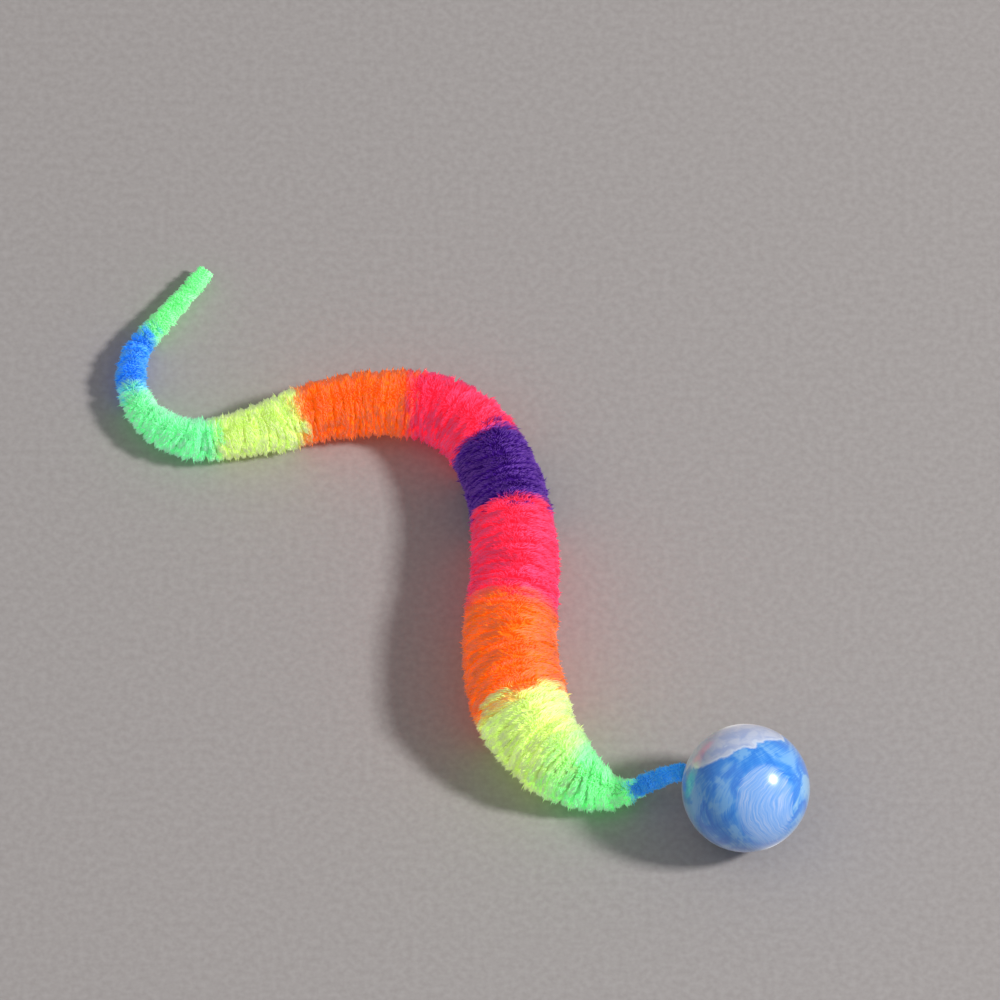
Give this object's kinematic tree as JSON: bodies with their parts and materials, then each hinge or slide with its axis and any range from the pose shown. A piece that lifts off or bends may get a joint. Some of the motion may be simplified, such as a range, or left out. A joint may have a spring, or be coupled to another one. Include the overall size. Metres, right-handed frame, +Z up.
{
  "type": "ball and chenille worm pet toy",
  "caption": "Solid rubber ball with a long, limp, fluffy tail of banded chenille pile on a twisted thread core.",
  "frame": {"origin": "on the surface that the toy lies on, under the middle of its bounding box", "axes": "+Z up from that surface; the tail's thick front stretch runs along +Y and the ball lies towards +X and -Y"},
  "size_m": [0.1466, 0.1468, 0.027],
  "materials": {
    "ball_rubber": "satin",
    "glue": "satin",
    "thread": "matte",
    "pile_blue": "matte",
    "pile_green": "matte",
    "pile_yellow": "matte",
    "pile_orange": "matte",
    "pile_red": "matte",
    "pile_purple": "matte"
  },
  "bodies": {
    "ball": {"ball": "ball_rubber", "glue_plug": "glue", "stop_knot": "thread", "anchor_thread_a": "thread", "anchor_thread_b": "thread"},
    "blue_neck": {"pile_blue_neck": "pile_blue", "thread_a_blue_neck": "thread", "thread_b_blue_neck": "thread"},
    "green_front": {"pile_green_front": "pile_green", "thread_a_green_front": "thread", "thread_b_green_front": "thread"},
    "yellow_front": {"pile_yellow_front": "pile_yellow", "thread_a_yellow_front": "thread", "thread_b_yellow_front": "thread"},
    "orange_front": {"pile_orange_front": "pile_orange", "thread_a_orange_front": "thread", "thread_b_orange_front": "thread"},
    "red_front": {"pile_red_front": "pile_red", "thread_a_red_front": "thread", "thread_b_red_front": "thread"},
    "purple_middle": {"pile_purple_middle": "pile_purple", "thread_a_purple_middle": "thread", "thread_b_purple_middle": "thread"},
    "red_rear": {"pile_red_rear": "pile_red", "thread_a_red_rear": "thread", "thread_b_red_rear": "thread"},
    "orange_rear": {"pile_orange_rear": "pile_orange", "thread_a_orange_rear": "thread", "thread_b_orange_rear": "thread"},
    "yellow_rear": {"pile_yellow_rear": "pile_yellow", "thread_a_yellow_rear": "thread", "thread_b_yellow_rear": "thread"},
    "green_rear": {"pile_green_rear": "pile_green", "thread_a_green_rear": "thread", "thread_b_green_rear": "thread"},
    "blue_rear": {"pile_blue_rear": "pile_blue", "thread_a_blue_rear": "thread", "thread_b_blue_rear": "thread"},
    "green_tip": {"pile_green_tip": "pile_green", "thread_a_green_tip": "thread", "thread_b_green_tip": "thread"}
  },
  "joints": [
    {"name": "sway_blue_neck", "type": "hinge", "parent": "ball", "child": "blue_neck", "pos_m": [0.0469, -0.05593, 0.0135], "axis": [0, 0, 1], "range_deg": [-45, 45]},
    {"name": "lift_green_front", "type": "hinge", "parent": "blue_neck", "child": "green_front", "pos_m": [0.03632, -0.05528, 0.00479], "axis": [-0.1736, 0.9848, 0], "range_deg": [-45, 45]},
    {"name": "sway_yellow_front", "type": "hinge", "parent": "green_front", "child": "yellow_front", "pos_m": [0.02209, -0.05199, 0.00824], "axis": [0, 0, 1], "range_deg": [-30, 30]},
    {"name": "lift_orange_front", "type": "hinge", "parent": "yellow_front", "child": "orange_front", "pos_m": [0.01302, -0.0395, 0.01059], "axis": [0.9511, 0.309, 0], "range_deg": [-30, 30]},
    {"name": "sway_red_front", "type": "hinge", "parent": "orange_front", "child": "red_front", "pos_m": [0.01071, -0.0156, 0.01], "axis": [0, 0, 1], "range_deg": [-30, 30]},
    {"name": "lift_purple_middle", "type": "hinge", "parent": "red_front", "child": "purple_middle", "pos_m": [0.01071, 0.00814, 0.00902], "axis": [0.9925, 0.1219, 0], "range_deg": [-30, 30]},
    {"name": "sway_red_rear", "type": "hinge", "parent": "purple_middle", "child": "red_rear", "pos_m": [0.00503, 0.02616, 0.00824], "axis": [0, 0, 1], "range_deg": [-30, 30]},
    {"name": "lift_orange_rear", "type": "hinge", "parent": "red_rear", "child": "orange_rear", "pos_m": [-0.01074, 0.03679, 0.00745], "axis": [0.1045, 0.9945, 0], "range_deg": [-30, 30]},
    {"name": "sway_yellow_rear", "type": "hinge", "parent": "orange_rear", "child": "yellow_rear", "pos_m": [-0.03416, 0.03392, 0.00657], "axis": [0, 0, 1], "range_deg": [-30, 30]},
    {"name": "lift_green_rear", "type": "hinge", "parent": "yellow_rear", "child": "green_rear", "pos_m": [-0.05149, 0.02959, 0.005], "axis": [-0.1392, 0.9903, 0], "range_deg": [-45, 45]},
    {"name": "sway_blue_rear", "type": "hinge", "parent": "green_rear", "child": "blue_rear", "pos_m": [-0.06919, 0.04131, 0.00373], "axis": [0, 0, 1], "range_deg": [-45, 45]},
    {"name": "lift_green_tip", "type": "hinge", "parent": "blue_rear", "child": "green_tip", "pos_m": [-0.06601, 0.05629, 0.00284], "axis": [0.7771, -0.6293, 0], "range_deg": [-45, 45]}
  ]
}
